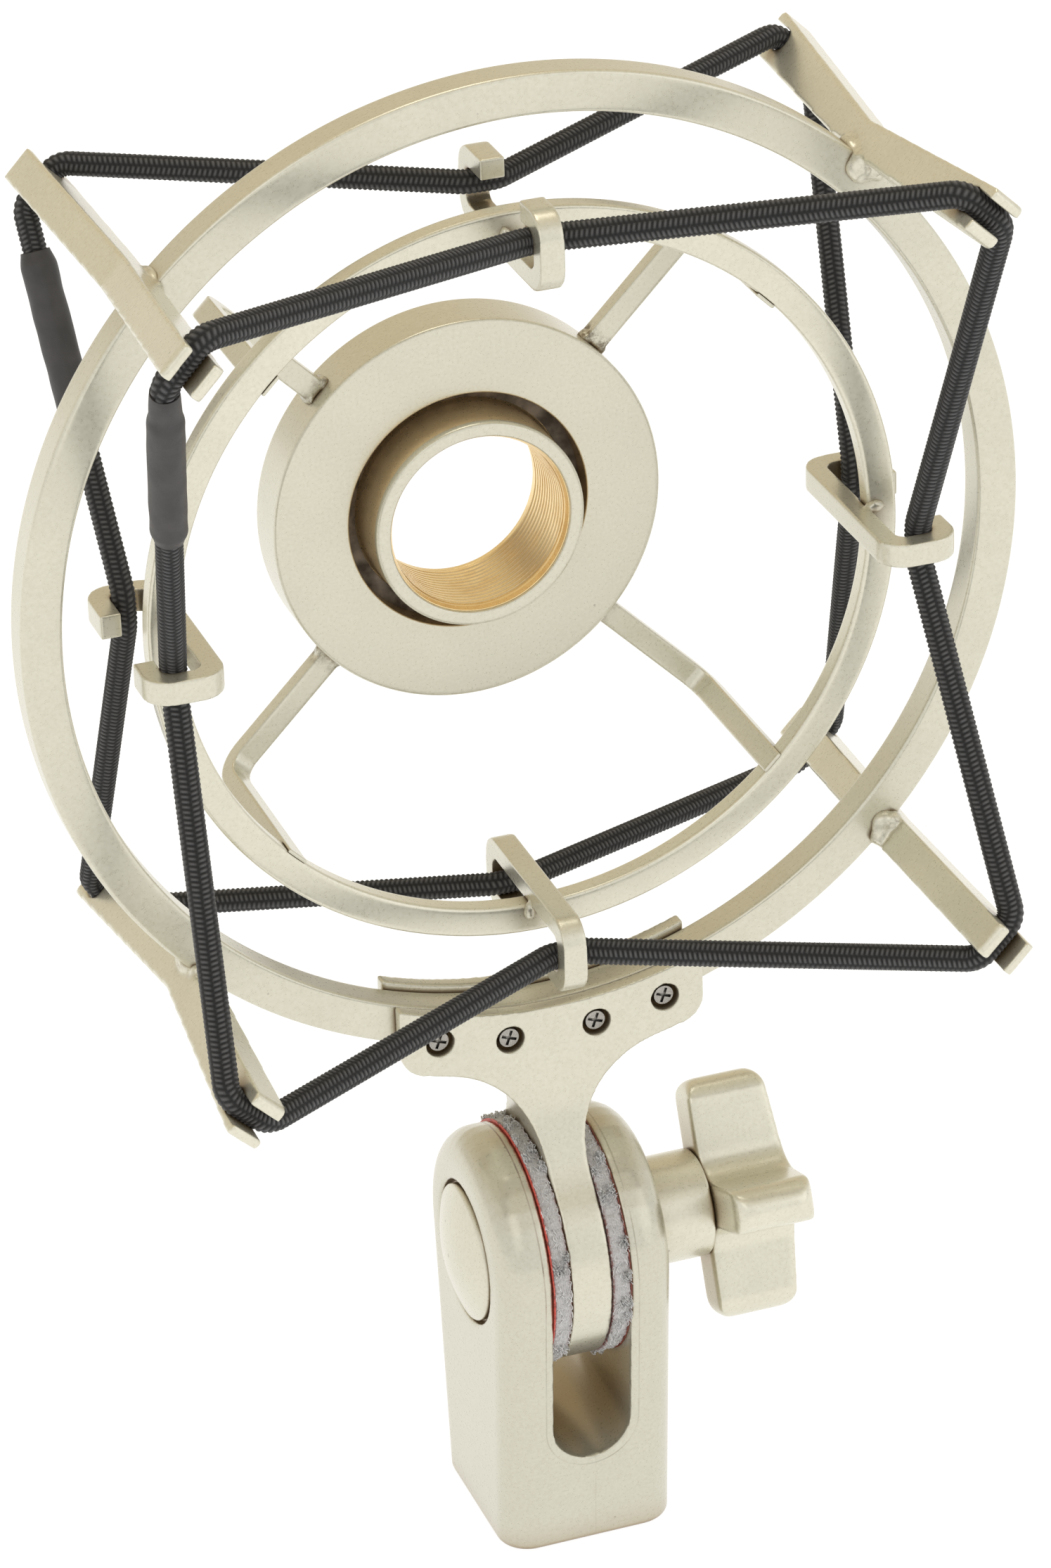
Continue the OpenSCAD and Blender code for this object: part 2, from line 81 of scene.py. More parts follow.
RING = centre_of("outer_ring")
RING_IN, RING_OUT = radii("outer_ring", RING, 1)
RING_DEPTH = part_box("outer_ring")[1].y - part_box("outer_ring")[0].y
CRADLE = centre_of("inner_ring")
CRADLE_IN, CRADLE_OUT = radii("inner_ring", CRADLE, 1)
CRADLE_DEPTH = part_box("inner_ring")[1].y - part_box("inner_ring")[0].y
HUB = centre_of("hub_disc")
HUB_OUT = radii("hub_disc", HUB, 1)[1]
COLLAR_OUT = radii("hub_disc", HUB, 1)[0] - 0.05 * MM
THREAD_IN, THREAD_OUT = radii("collar_thread_insert", HUB, 1)
PIVOT = Vector((0, 0, centre_of("knob_spacer").z))
CORD_R = 1.7 * MM
HOOK_REACH = {-1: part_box("hook_right")[0].y, 1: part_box("hook_right")[1].y}   # its front and rear ends
HOOK_BAR = CRADLE_IN - (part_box("hook_right")[0].x - CRADLE.x)
HOOK_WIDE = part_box("hook_right")[1].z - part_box("hook_right")[0].z
ARM_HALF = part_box("arm_top_right")[1].y
ARM_THICK = 5.4 * MM
LIP_WIDE = 1.3 * MM                      # width of the cast lip round the block's slot


# ---- mesh helpers ----

def new_object(name, mesh):
    obj = bpy.data.objects.new(name, mesh)
    bpy.context.scene.collection.objects.link(obj)
    return obj


def grid_object(name, points, close_rows, cap_rows):
    """A mesh from a grid of points: rows are rings that always close; the rows may close on each other or be capped."""
    rows, cols = points.shape[:2]
    i = np.arange(rows if close_rows else rows - 1)[:, None]
    j = np.arange(cols)[None, :]
    nexti, nextj = (i + 1) % rows, (j + 1) % cols
    corners = (i * cols + j, nexti * cols + j, nexti * cols + nextj, i * cols + nextj)
    quads = np.stack([np.broadcast_to(c, (len(i), cols)) for c in corners], -1).reshape(-1, 4)
    faces = quads.tolist()
    if cap_rows:
        faces.append(list(range(cols)))
        faces.append([(rows - 1) * cols + k for k in reversed(range(cols))])
    mesh = bpy.data.meshes.new(name)
    mesh.from_pydata(points.reshape(-1, 3).tolist(), [], faces)
    work = bmesh.new()
    work.from_mesh(mesh)
    bmesh.ops.recalc_face_normals(work, faces=work.faces)
    work.to_mesh(mesh)
    work.free()
    mesh.shade_smooth()
    return new_object(name, mesh)


def rounded_outline(corners, step=0.4 * MM, arc_steps=6):
    """Closed outline from (x, y, corner radius) triples, with long sides divided so that shading stays even."""
    pts = [np.array(c[:2], float) for c in corners]
    path = []
    for k, corner in enumerate(pts):
        before, after, radius = pts[k - 1], pts[(k + 1) % len(pts)], corners[k][2]
        u = (before - corner) / np.linalg.norm(before - corner)
        v = (after - corner) / np.linalg.norm(after - corner)
        half = math.acos(max(-1, min(1, u @ v))) / 2
        if radius <= 0 or half > math.pi / 2 - 0.01:
            path.append(corner)
            continue
        middle = corner + (u + v) / np.linalg.norm(u + v) * radius / math.sin(half)
        first = corner + u * radius / math.tan(half)
        last = corner + v * radius / math.tan(half)
        sweep = math.pi - 2 * half
        for s in range(arc_steps + 1):
            a = sweep * s / arc_steps
            mix = (math.sin(sweep - a) * (first - middle) + math.sin(a) * (last - middle)) / math.sin(sweep)
            path.append(middle + mix)
    dense = []
    for k, p in enumerate(path):
        q = path[(k + 1) % len(path)]
        count = max(1, int(np.linalg.norm(q - p) / step))
        dense += [p + (q - p) * s / count for s in range(count)]
    return np.array(dense)


def turn_outline(outline, centre, along, count):
    """Grid of points from an outline of (radius, place along the axis), turned about a line through centre."""
    angles = np.linspace(0, 2 * math.pi, count, endpoint=False)[:, None]
    radius, place = outline[None, :, 0], outline[None, :, 1]
    flat = np.zeros((count, outline.shape[0], 3))
    across = [k for k in range(3) if k != along]
    flat[..., across[0]] = radius * np.cos(angles)
    flat[..., across[1]] = radius * np.sin(angles)
    flat[..., along] = np.broadcast_to(place, flat.shape[:2])
    origin = np.array(centre, float)
    origin[along] = 0
    return flat + origin


def lathe(name, corners, centre, along, count=540):
    points = turn_outline(rounded_outline(corners), centre, along, count)
    return grid_object(name, points, True, False)


def waviness(obj, scale, height, seed):
    """Moves each point a little along its normal, so that no face is perfectly flat."""
    shift = Vector((seed * 7.3, seed * 3.1, seed * 5.7))
    normals = [v.normal.copy() for v in obj.data.vertices]
    for v, normal in zip(obj.data.vertices, normals):
        v.co += normal * (height * noise.noise(v.co * (1 / scale) + shift))


def finish_mesh(obj, modifiers):
    """Applies a list of (type, settings) modifiers and returns the object with its final mesh."""
    for kind, settings in modifiers:
        m = obj.modifiers.new(kind, kind)
        for key, value in settings.items():
            setattr(m, key, value)
    graph = bpy.context.evaluated_depsgraph_get()
    final = bpy.data.meshes.new_from_object(obj.evaluated_get(graph))
    obj.modifiers.clear()
    obj.data = final
    obj.data.materials.clear()
    obj.data.shade_smooth()
    return obj


def add_bead(work, place, size, lean, seed):
    """A lump of weld: a ball stretched to size, turned by lean, with an uneven skin."""
    made = bmesh.ops.create_icosphere(work, subdivisions=4, radius=1.0)
    turn = Matrix.LocRotScale(place, lean.to_quaternion(), Vector(size))
    for v in made["verts"]:
        bump = 1 + 0.22 * noise.noise(v.co * 1.6 + Vector((seed, 0, 0)))
        v.co = turn @ (v.co * bump)


def cast(name, node, beads=(), voxel=0.3 * MM, ease=6, soot=0.35):
    """A copy of a CAD node with its weld beads grown on, remeshed as one skin with softened edges."""
    work = bmesh.new()
    work.from_mesh(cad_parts[node].data)
    for k, (spot, size, lean) in enumerate(beads):
        add_bead(work, spot, size, lean, 3.7 * k + len(name))
    mesh = bpy.data.meshes.new(name)
    work.to_mesh(mesh)
    work.free()
    obj = finish_mesh(new_object(name, mesh), [
        ("REMESH", {"mode": "VOXEL", "voxel_size": voxel}),
        ("SMOOTH", {"factor": 0.5, "iterations": ease}),
    ])
    if beads:
        mark(obj, "soot", np.minimum(1, soot * soot_near(obj, [bead[0] for bead in beads])))
    return obj


def mark(obj, name, values):
    """Stores one value per point for a material to read."""
    layer = obj.data.attributes.new(name, "FLOAT", "POINT")
    layer.data.foreach_set("value", np.asarray(values, np.float32).ravel())


def soot_near(obj, spots):
    """Value that falls from 1 at each spot to 0 a few millimetres away."""
    points = points_of_mesh(obj)
    nearest = np.min([np.linalg.norm(points - np.array(spot), axis=1) for spot in spots], axis=0)
    return np.clip(1.5 - nearest / (1.9 * MM), 0, 1)


def place(obj, body, slot, material, *replaced):
    """Puts a finished piece on its body and gives it its material."""
    obj.data.materials.clear()
    obj.data.materials.append(material)
    if replaced:
        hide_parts(*replaced)
    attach(obj, body)
    return obj


# ---- materials ----

class Nodes:
    """Short way to add shader nodes and links."""

    def __init__(self, name):
        self.material = bpy.data.materials.new(name)
        self.material.use_nodes = True
        self.tree = self.material.node_tree
        self.shader = self.tree.nodes["Principled BSDF"]
        coords = self.tree.nodes.new("ShaderNodeTexCoord")
        self.place = coords.outputs["Object"]

    def add(self, kind, **inputs):
        node = self.tree.nodes.new("ShaderNode" + kind)
        for key, value in inputs.items():
            self.put(node, key, value)
        return node

    def put(self, node, key, value):
        socket = node.inputs[int(key[1:]) if key[0] == "_" and key[1:].isdigit() else key.replace("_", " ")]
        if isinstance(value, bpy.types.NodeSocket):
            self.tree.links.new(value, socket)
        else:
            socket.default_value = value

    def noise(self, size, detail=2.0, rough=0.5, place=None):
        """Noise whose grains are about size across; its output runs from 0 to 1."""
        node = self.add("TexNoise", Vector=place or self.place, Scale=1 / size, Detail=detail, Roughness=rough)
        return node.outputs["Fac"]

    def cells(self, size):
        return self.add("TexVoronoi", Vector=self.place, Scale=1 / size)

    def attribute(self, name):
        node = self.tree.nodes.new("ShaderNodeAttribute")
        node.attribute_name = name
        return node.outputs["Fac"]

    def closeness(self, reach):
        """1 in the open and lower where other surfaces are within reach."""
        return self.add("AmbientOcclusion", Distance=reach).outputs["AO"]

    def math(self, operation, a, b=0.0, clamp=False):
        node = self.tree.nodes.new("ShaderNodeMath")
        node.operation = operation
        node.use_clamp = clamp
        self.put(node, "_0", a)
        self.put(node, "_1", b)
        return node.outputs[0]

    def span(self, value, low, high, to_low=0.0, to_high=1.0):
        node = self.tree.nodes.new("ShaderNodeMapRange")
        for key, v in (("_0", value), ("_1", low), ("_2", high), ("_3", to_low), ("_4", to_high)):
            self.put(node, key, v)
        return node.outputs[0]

    def mix(self, share, a, b):
        node = self.tree.nodes.new("ShaderNodeMix")
        node.data_type = "RGBA"
        for key, v in (("_0", share), ("_6", a), ("_7", b)):
            self.put(node, key, v)
        return node.outputs[2]

    def bump(self, height, distance, strength=1.0, under=None):
        node = self.add("Bump", Height=height, Distance=distance, Strength=strength)
        if under is not None:
            self.put(node, "Normal", under)
        return node.outputs["Normal"]

    def done(self, **inputs):
        for key, value in inputs.items():
            self.put(self.shader, key, value)
        return self.material


def grey(v):
    return (v, v, v, 1)


def champagne(name, shade):
    """Satin metallic lacquer: flakes, faint clouds, pinholes, painted shade in corners and soot at welds.
    The coat is the same on every piece; shade scales its colour to paint light and shade, darker or lighter from piece
    to piece."""
    n = Nodes(name)
    dull = (0.66 * shade, 0.637 * shade, 0.517 * shade, 1)
    bright = (0.715 * shade, 0.695 * shade, 0.577 * shade, 1)
    flakes = n.cells(0.17 * MM)
    grain = n.noise(0.5 * MM, 2.0)
    clouds = n.noise(9 * MM, 3.0)
    pits = n.cells(2.6 * MM)
    pit = n.span(pits.outputs["Distance"], 0.05, 0.1, 1.0, 0.0)
    rare = n.span(n.noise(5.5 * MM), 0.66, 0.69)
    pit = n.math("MULTIPLY", pit, rare)
    base = n.mix(n.span(grain, 0.35, 0.65), dull, bright)
    base = n.mix(n.span(flakes.outputs["Color"], 0.72, 1.0, 0.0, 0.08), base, (0.90, 0.885, 0.80, 1))
    base = n.mix(n.span(clouds, 0.35, 0.7, 0.0, 0.2), base, (0.56, 0.54, 0.44, 1))
    base = n.mix(n.math("MULTIPLY", pit, 0.5), base, (0.10, 0.08, 0.06, 1))
    # Painted shade: darker and browner where other surfaces are near, in corners, recesses and the gaps between parts.
    base = n.mix(n.span(n.closeness(14 * MM), 0.2, 0.68, 0.88, 0.0), base, (0.31, 0.20, 0.075, 1))
    base = n.mix(n.span(n.closeness(2.2 * MM), 0.25, 0.75, 0.6, 0.0), base, (0.15, 0.09, 0.03, 1))
    # Partly colour, partly painted shade and reflection: the collar's outer wall in the hub's gap is tinted golden
    # brown.
    base = n.mix(n.math("MULTIPLY", n.attribute("bronze_and_gap_shade"), 0.85), base, (1.0, 0.76, 0.42, 1))
    smoke = n.math("MULTIPLY", n.attribute("soot"), n.span(n.noise(1.1 * MM, 4.0, 0.8), 0.42, 0.6))
    base = n.mix(n.math("MULTIPLY", smoke, 0.85), base, (0.13, 0.095, 0.055, 1))
    lip = n.attribute("lip")
    lip_line = n.span(n.math("ABSOLUTE", n.math("SUBTRACT", lip, LIP_WIDE)), 0.03 * MM, 0.12 * MM, 1.0, 0.0)
    seam_line = n.span(n.math("ABSOLUTE", n.math("SUBTRACT", n.attribute("seam"), 1.0)), 0.0, 0.1 * MM, 0.6, 0.0)
    wear_and_dark_reflection = n.span(n.noise(6 * MM, 2.0), 0.4, 0.6, 0.25, 1.0)
    base = n.mix(n.math("MULTIPLY", n.math("MAXIMUM", lip_line, seam_line), n.math("MULTIPLY", wear_and_dark_reflection, 0.5)),
                 base, (0.30, 0.26, 0.18, 1))
    rough = n.span(grain, 0.2, 0.8, 0.26, 0.32)
    height = n.math("SUBTRACT", n.math("ADD", grain, n.math("MULTIPLY", clouds, 3.0)), n.math("MULTIPLY", pit, 4.0))
    step = n.bump(n.span(lip, LIP_WIDE - 0.15 * MM, LIP_WIDE + 0.1 * MM), 0.12 * MM)
    return n.done(Base_Color=base, Metallic=0.7, Roughness=rough, Normal=n.bump(height, 0.004 * MM, under=step),
                  Coat_Weight=0.35, Coat_Roughness=0.3)


def nickel():
    """Dull plate with a fine grain, and painted shade in the recesses."""
    n = Nodes("nickel_screws")
    grain = n.noise(0.12 * MM, 4.0, 0.8)
    smear = n.noise(0.8 * MM, 3.0)
    base = n.mix(n.span(grain, 0.35, 0.65), (0.27, 0.25, 0.22, 1), (0.60, 0.585, 0.55, 1))
    # Painted shade: the recesses turn near-black.
    base = n.mix(n.span(n.closeness(0.9 * MM), 0.3, 0.8, 0.75, 0.0), base, (0.045, 0.038, 0.03, 1))
    return n.done(Base_Color=base, Metallic=1.0, Roughness=n.span(smear, 0.3, 0.7, 0.22, 0.48),
                  Normal=n.bump(grain, 0.06 * MM))


def brass():
    """Turned brass, bright on the crests of the thread; its brown grooves and darker patches are painted shade and
    painted reflections.
    """
    n = Nodes("thread_brass")
    stain_and_reflection = n.noise(3.5 * MM, 3.0)
    grain = n.noise(0.15 * MM, 2.0)
    # Painted shade: the crown attribute makes the thread's grooves dark brown.
    base = n.mix(n.attribute("crown"), (0.16, 0.07, 0.014, 1), (0.98, 0.78, 0.44, 1))
    # Painted reflection: random darker orange-brown patches.
    base = n.mix(n.span(stain_and_reflection, 0.5, 0.8, 0.0, 0.55), base, (0.70, 0.44, 0.16, 1))
    return n.done(Base_Color=base, Metallic=0.9, Roughness=n.span(grain, 0.3, 0.7, 0.25, 0.4),
                  Normal=n.bump(grain, 0.01 * MM))


def steel(name, dark, light, rough):
    n = Nodes(name)
    grain = n.noise(0.2 * MM, 4.0, 0.7)
    blotch = n.noise(2.5 * MM, 2.0)
    base = n.mix(n.span(blotch, 0.35, 0.7), dark, light)
    return n.done(Base_Color=base, Metallic=1.0, Roughness=n.span(grain, 0.3, 0.7, rough, rough + 0.2),
                  Normal=n.bump(grain, 0.02 * MM))


def braid():
    """Textile sheath: near-black yarn with a fine grain and specks of lint; painted highlight makes the crowns paler
    and painted shade makes the grooves black.
    """
    n = Nodes("elastic_cord")
    # Painted highlight and shade: the crowns of the braid are paler and the grooves black.
    crown = n.math("POWER", n.attribute("crown"), 3.4)
    fine = n.noise(0.09 * MM, 3.0, 0.8)
    lint = n.span(n.noise(0.45 * MM, 4.0, 0.7), 0.62, 0.74, 0.0, 0.4)
    base = n.mix(crown, (0.0006, 0.0006, 0.0006, 1), (0.105, 0.104, 0.106, 1))
    base = n.mix(n.span(fine, 0.42, 0.75, 0.0, 0.25), base, (0.085, 0.084, 0.086, 1))
    base = n.mix(lint, base, (0.12, 0.12, 0.12, 1))
    return n.done(Base_Color=base, Roughness=n.span(fine, 0.3, 0.7, 0.5, 0.75), Normal=n.bump(fine, 0.04 * MM),
                  Sheen_Weight=0.15, Sheen_Roughness=0.5, Specular_IOR_Level=0.35)


def shrink_tube():
    n = Nodes("shrink_sleeve")
    fine = n.noise(0.14 * MM, 3.0, 0.6)
    broad = n.noise(3 * MM, 2.0)
    base = n.mix(n.span(broad, 0.3, 0.7), (0.036, 0.034, 0.034, 1), (0.055, 0.051, 0.051, 1))
    base = n.mix(n.span(fine, 0.6, 0.8, 0.0, 0.4), base, (0.09, 0.086, 0.086, 1))
    height = n.math("ADD", fine, n.math("MULTIPLY", broad, 4.0))
    return n.done(Base_Color=base, Roughness=n.span(fine, 0.3, 0.7, 0.42, 0.6), Normal=n.bump(height, 0.02 * MM))


def fibre(name, dark, light):
    """Pressed fibre: grey lilac body with pale threads, stained by adhesive along its edges."""
    n = Nodes(name)
    fine = n.noise(0.16 * MM, 4.0, 0.8)
    strands = n.add("TexWave", Vector=n.place, Scale=900.0, Distortion=14.0, Detail=3.0)
    base = n.mix(n.span(fine, 0.32, 0.66), dark, light)
    base = n.mix(n.span(strands.outputs["Fac"], 0.7, 1.0, 0.0, 0.6), base, (0.86, 0.84, 0.82, 1))
    stain_and_reflection = n.math("MULTIPLY", n.attribute("edge"), n.span(n.noise(0.5 * MM, 3.0, 0.7), 0.36, 0.52))
    base = n.mix(stain_and_reflection, base, (0.24, 0.035, 0.02, 1))
    return n.done(Base_Color=base, Roughness=0.9, Normal=n.bump(fine, 0.22 * MM), Sheen_Weight=0.3)


def red_film(name, dark, light):
    """Edge of an adhesive film, torn and dirty in places."""
    n = Nodes(name)
    fine = n.noise(0.3 * MM, 3.0)
    torn = n.span(n.noise(0.9 * MM, 4.0, 0.7), 0.56, 0.64)
    base = n.mix(n.span(fine, 0.35, 0.7), dark, light)
    base = n.mix(torn, base, (0.13, 0.04, 0.03, 1))
    return n.done(Base_Color=base, Roughness=0.5, Normal=n.bump(fine, 0.03 * MM))


# Painted light and shade: one coat in three copies, darker on the stand block and lighter on the cradle ring, arms,
# knob and spacer, where the light falls differently.
PAINT = champagne("champagne_paint", 0.975)
SHADED_BLOCK_PAINT = champagne("champagne_painted_shade", 0.88)
LIT_PAINT = champagne("champagne_painted_light", 1.06)
NICKEL = nickel()
BRASS = brass()
STEEL = steel("plain_steel", (0.42, 0.41, 0.39, 1), (0.62, 0.61, 0.58, 1), 0.3)
SPRING = steel("spring_steel", (0.05, 0.04, 0.03, 1), (0.16, 0.13, 0.10, 1), 0.3)
BRAID = braid()
TUBE = shrink_tube()
FIBRE = fibre("friction_fibre", (0.42, 0.41, 0.405, 1), (0.80, 0.785, 0.775, 1))
STRAND = fibre("friction_strands", (0.86, 0.85, 0.84, 1), (0.98, 0.98, 0.97, 1))
FILMS = {
    "left": red_film("red_adhesive", (0.55, 0.045, 0.03, 1), (0.75, 0.17, 0.13, 1)),
    "right": red_film("brown_adhesive", (0.10, 0.03, 0.02, 1), (0.34, 0.08, 0.05, 1)),
}


# ---- rings, hub and collar ----

def bar_corners(inner, outer, low, high, edge):
    return [(inner, low, edge), (outer, low, edge), (outer, high, edge), (inner, high, edge)]


def build_rings():
    edge = 0.55 * MM
    half = RING_DEPTH / 2
    ring = lathe("outer_ring_bar", bar_corners(RING_IN, RING_OUT, -half, half, edge), RING, 1, 720)
    waviness(ring, 14 * MM, 0.03 * MM, 1)
    place(ring, "frame", "champagne_paint", PAINT, "outer_ring")
    half = CRADLE_DEPTH / 2
    ring = lathe("inner_ring_bar", bar_corners(CRADLE_IN, CRADLE_OUT, -half, half, edge), CRADLE, 1, 600)
    waviness(ring, 14 * MM, 0.03 * MM, 2)
    place(ring, "cradle", "champagne_paint", LIT_PAINT, "inner_ring")


def build_hub():
    low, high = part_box("hub_disc")[0].y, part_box("hub_disc")[1].y
    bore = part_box("collar_retaining_ring")[1].x - HUB.x - 0.85 * MM
    lip, edge = 2.4 * MM, 0.45 * MM
    corners = [(bore, low, 0.3 * MM), (HUB_OUT, low, edge), (HUB_OUT, high, edge), (COLLAR_OUT + 0.05 * MM, high, edge),
               (COLLAR_OUT + 0.05 * MM, high - lip, 0), (bore, high - lip, 0)]
    hub = lathe("hub_plate", corners, HUB, 1)
    place(hub, "cradle", "champagne_paint", PAINT, "hub_disc")


def build_collar():
    low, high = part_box("collar_sleeve")[0].y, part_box("collar_sleeve")[1].y
    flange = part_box("collar_retaining_ring")[1].y + 0.1 * MM
    flange_r = radii("collar_sleeve", HUB, 1)[1]
    corners = [(THREAD_OUT, low, 0.35 * MM), (COLLAR_OUT, low, 0.55 * MM), (COLLAR_OUT, flange, 0),
               (flange_r, flange, 0.2 * MM), (flange_r, flange + 1.4 * MM, 0.2 * MM), (COLLAR_OUT, flange + 1.4 * MM, 0),
               (COLLAR_OUT, high, 0.4 * MM), (THREAD_OUT, high, 0.4 * MM)]
    collar = lathe("collar_tube", corners, HUB, 1)
    # Marks the collar's outer wall for its golden-brown tint, partly colour and partly painted shade and reflection in
    # the hub's gap.
    away = points_of_mesh(collar) - np.array(HUB)
    outside = np.hypot(away[:, 0], away[:, 2]) > COLLAR_OUT - 0.1 * MM
    mark(collar, "bronze_and_gap_shade", outside & (away[:, 1] + HUB.y > low + 1.0 * MM))
    place(collar, "collar", "champagne_paint", PAINT, "collar_sleeve")


def build_thread():
    """Brass insert with a helical thread cut into its bore."""
    low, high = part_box("collar_thread_insert")[0].y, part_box("collar_thread_insert")[1].y
    pitch, depth, lead, count = 1.0 * MM, 0.42 * MM, 1.3 * MM, 480
    steps = int((high - low) / pitch * 12)
    y = np.linspace(low, high, steps)[None, :]
    angle = np.linspace(0, 2 * math.pi, count, endpoint=False)[:, None]
    phase = ((y - low) / pitch - angle / (2 * math.pi)) % 1.0
    tooth = np.clip(np.abs(phase - 0.5) * 3.4 - 0.85, 0, 1)
    inside = (y - low > lead) & (high - y > 0.8 * MM)
    chamfer = np.clip(1 - (y - low) / (0.8 * MM), 0, 1) * 0.35 * MM
    bore = THREAD_IN + np.where(inside, depth * tooth, 0.12 * MM) + chamfer
    outer = np.full((1, 2), THREAD_OUT)
    radius = np.concatenate([bore, np.broadcast_to(outer, (count, 2))], axis=1)
    place_y = np.concatenate([np.broadcast_to(y, (count, steps)), np.broadcast_to([[high, low]], (count, 2))], axis=1)
    points = np.stack([HUB.x + radius * np.cos(angle), place_y, HUB.z + radius * np.sin(angle)], -1)
    thread = grid_object("collar_thread", points, True, False)
    # Painted shade and reflection: the crest value is low in the grooves and is halved in a patch near the angle 5.45,
    # a painted dark reflection.
    crest = np.ones(points.shape[:2])
    wear_and_dark_reflection = 1 - 0.5 * np.exp(-((np.abs(angle - 5.45)) / 0.32) ** 2)
    crest[:, :steps] = np.where(inside, (1 - tooth) * wear_and_dark_reflection, 1)
    mark(thread, "crown", crest)
    place(thread, "collar", "thread_brass", BRASS, "collar_thread_insert")


# ---- welded arms, hooks and spokes ----

def polar(centre, angle, radius, y, across=0.0):
    """Point at this angle and radius about the ring's axis, moved across the radius by a little."""
    c, s = math.cos(angle), math.sin(angle)
    return Vector((centre.x + radius * c - across * s, y, centre.z + radius * s + across * c))


def lean_to(angle):
    return Matrix.Rotation(-angle, 3, "Y")


def node_angle(node, centre):
    middle = points_of(node).mean(axis=0)
    return math.atan2(middle[2] - centre.z, middle[0] - centre.x)


def build_arms():
    """Each arm has a bead of weld where it stands on the ring."""
    for k, name in enumerate(("top_right", "top_left", "bottom_left", "bottom_right")):
        node = "arm_" + name
        angle = node_angle(node, RING)
        half = ARM_THICK / 2
        lump = 1.15 if name == "top_right" else 1.0
        beads = []
        for side in (-1, 1):
            front = -RING_DEPTH / 2
            beads.append((polar(RING, angle, RING_OUT - 0.4 * MM, front - 0.5 * MM, side * half * 0.55),
                          (1.4 * MM, 1.5 * MM, 1.6 * MM), lean_to(angle)))
            beads.append((polar(RING, angle, RING_OUT + 0.1 * MM, 0, side * (half + 0.1 * MM)),
                          (1.0 * MM, 2.4 * MM, 0.9 * MM), lean_to(angle)))
        beads.append((polar(RING, angle, RING_OUT - 1.1 * MM, -RING_DEPTH / 2 - 0.2 * MM, 0.4 * MM),
                      (2.1 * MM * lump, 1.3 * MM * lump, 1.9 * MM * lump), lean_to(angle)))
        obj = cast("welded_" + node, node, beads, 0.28 * MM, 14)
        place(obj, "frame", "champagne_paint", LIT_PAINT, node)


def build_hooks():
    for k, name in enumerate(("right", "top", "left", "bottom")):
        node = "hook_" + name
        angle = k * math.pi / 2
        front = -CRADLE_DEPTH / 2
        beads = [(polar(CRADLE, angle, CRADLE_IN + 1.0 * MM, front - 0.1 * MM, side * (HOOK_WIDE / 2 + 0.1 * MM)),
                  (1.5 * MM, 0.8 * MM, 0.9 * MM), lean_to(angle)) for side in (-1, 1)]
        obj = cast("welded_" + node, node, beads, 0.2 * MM, 14)
        place(obj, "cradle", "champagne_paint", PAINT, node)


def build_spokes():
    for k, name in enumerate(("top_right", "top_left", "bottom_left", "bottom_right")):
        node = "spoke_" + name
        angle = math.pi / 4 + k * math.pi / 2
        low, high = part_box(node)
        y = high.y - 1.3 * MM
        beads = [(polar(CRADLE, angle, HUB_OUT + 0.2 * MM, y, side * 1.5 * MM), (1.1 * MM, 1.5 * MM, 0.9 * MM),
                  lean_to(angle)) for side in (-1, 1)]
        obj = cast("welded_" + node, node, beads, 0.2 * MM, 6, 1.7 if name == "top_right" else 1.0)
        place(obj, "cradle", "champagne_paint", PAINT, node)


# ---- stand block, saddle and knob ----

def mark_block(block):
    """Marks how far each point lies outside the slot, and how far to the side of the mould's parting line."""
    slot_half = -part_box("pad_film_left")[0].x
    slot_floor = min(v.co.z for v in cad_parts["stand_block"].data.vertices
                     if abs(v.co.x) < 1 * MM and v.co.z > 0.3 * PIVOT.z)
    points = points_of_mesh(block)
    below = np.minimum(points[:, 2] - (slot_floor + slot_half), 0)
    mark(block, "lip", np.hypot(points[:, 0], below) - slot_half)
    mark(block, "seam", 1 + points[:, 0] - 0.5 * MM + np.maximum(0, points[:, 2] - slot_floor) * 5)


def build_castings():
    block = cast("stand_casting", "stand_block", (), 0.3 * MM, 12)
    mark_block(block)
    place(block, "stand", "champagne_paint", SHADED_BLOCK_PAINT, "stand_block")
    saddle = cast("saddle_casting", "saddle_bracket", (), 0.25 * MM, 10)
    place(saddle, "frame", "champagne_paint", PAINT, "saddle_bracket")
    knob = cast("knob_casting", "clamp_knob", (), 0.25 * MM, 45)
    place(knob, "knob", "champagne_paint", LIT_PAINT, "clamp_knob")


def build_spacer():
    low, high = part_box("knob_spacer")
    bore, outer = radii("knob_spacer", PIVOT, 0)
    corners = [(bore, low.x, 0), (outer, low.x, 0.3 * MM), (outer, high.x, 0.5 * MM), (bore, high.x, 0)]
    spacer = lathe("knob_spacer_turned", corners, PIVOT, 0, 240)
    place(spacer, "knob_carrier", "champagne_paint", LIT_PAINT, "knob_spacer")


def build_bolt():
    low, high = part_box("pivot_bolt")
    head_r = high.z - PIVOT.z
    shank_r = 4 * MM
    rim = low.x + 2.4 * MM
    back = low.x + 4.0 * MM
    dome = []
    for s in range(0, 22):
        r = head_r * 0.985 * s / 21
        dome.append((max(r, 0.02 * MM), low.x + (rim - low.x) * (r / head_r) ** 2, 0))
    corners = dome + [(head_r, rim + 0.15 * MM, 0), (head_r, back, 0.1 * MM), (shank_r, back, 0),
                      (shank_r, high.x, 0.4 * MM), (0.02 * MM, high.x, 0)]
    bolt = lathe("pivot_bolt_turned", corners, PIVOT, 0, 300)
    place(bolt, "stand", "champagne_paint", PAINT, "pivot_bolt")


# ---- friction pads ----

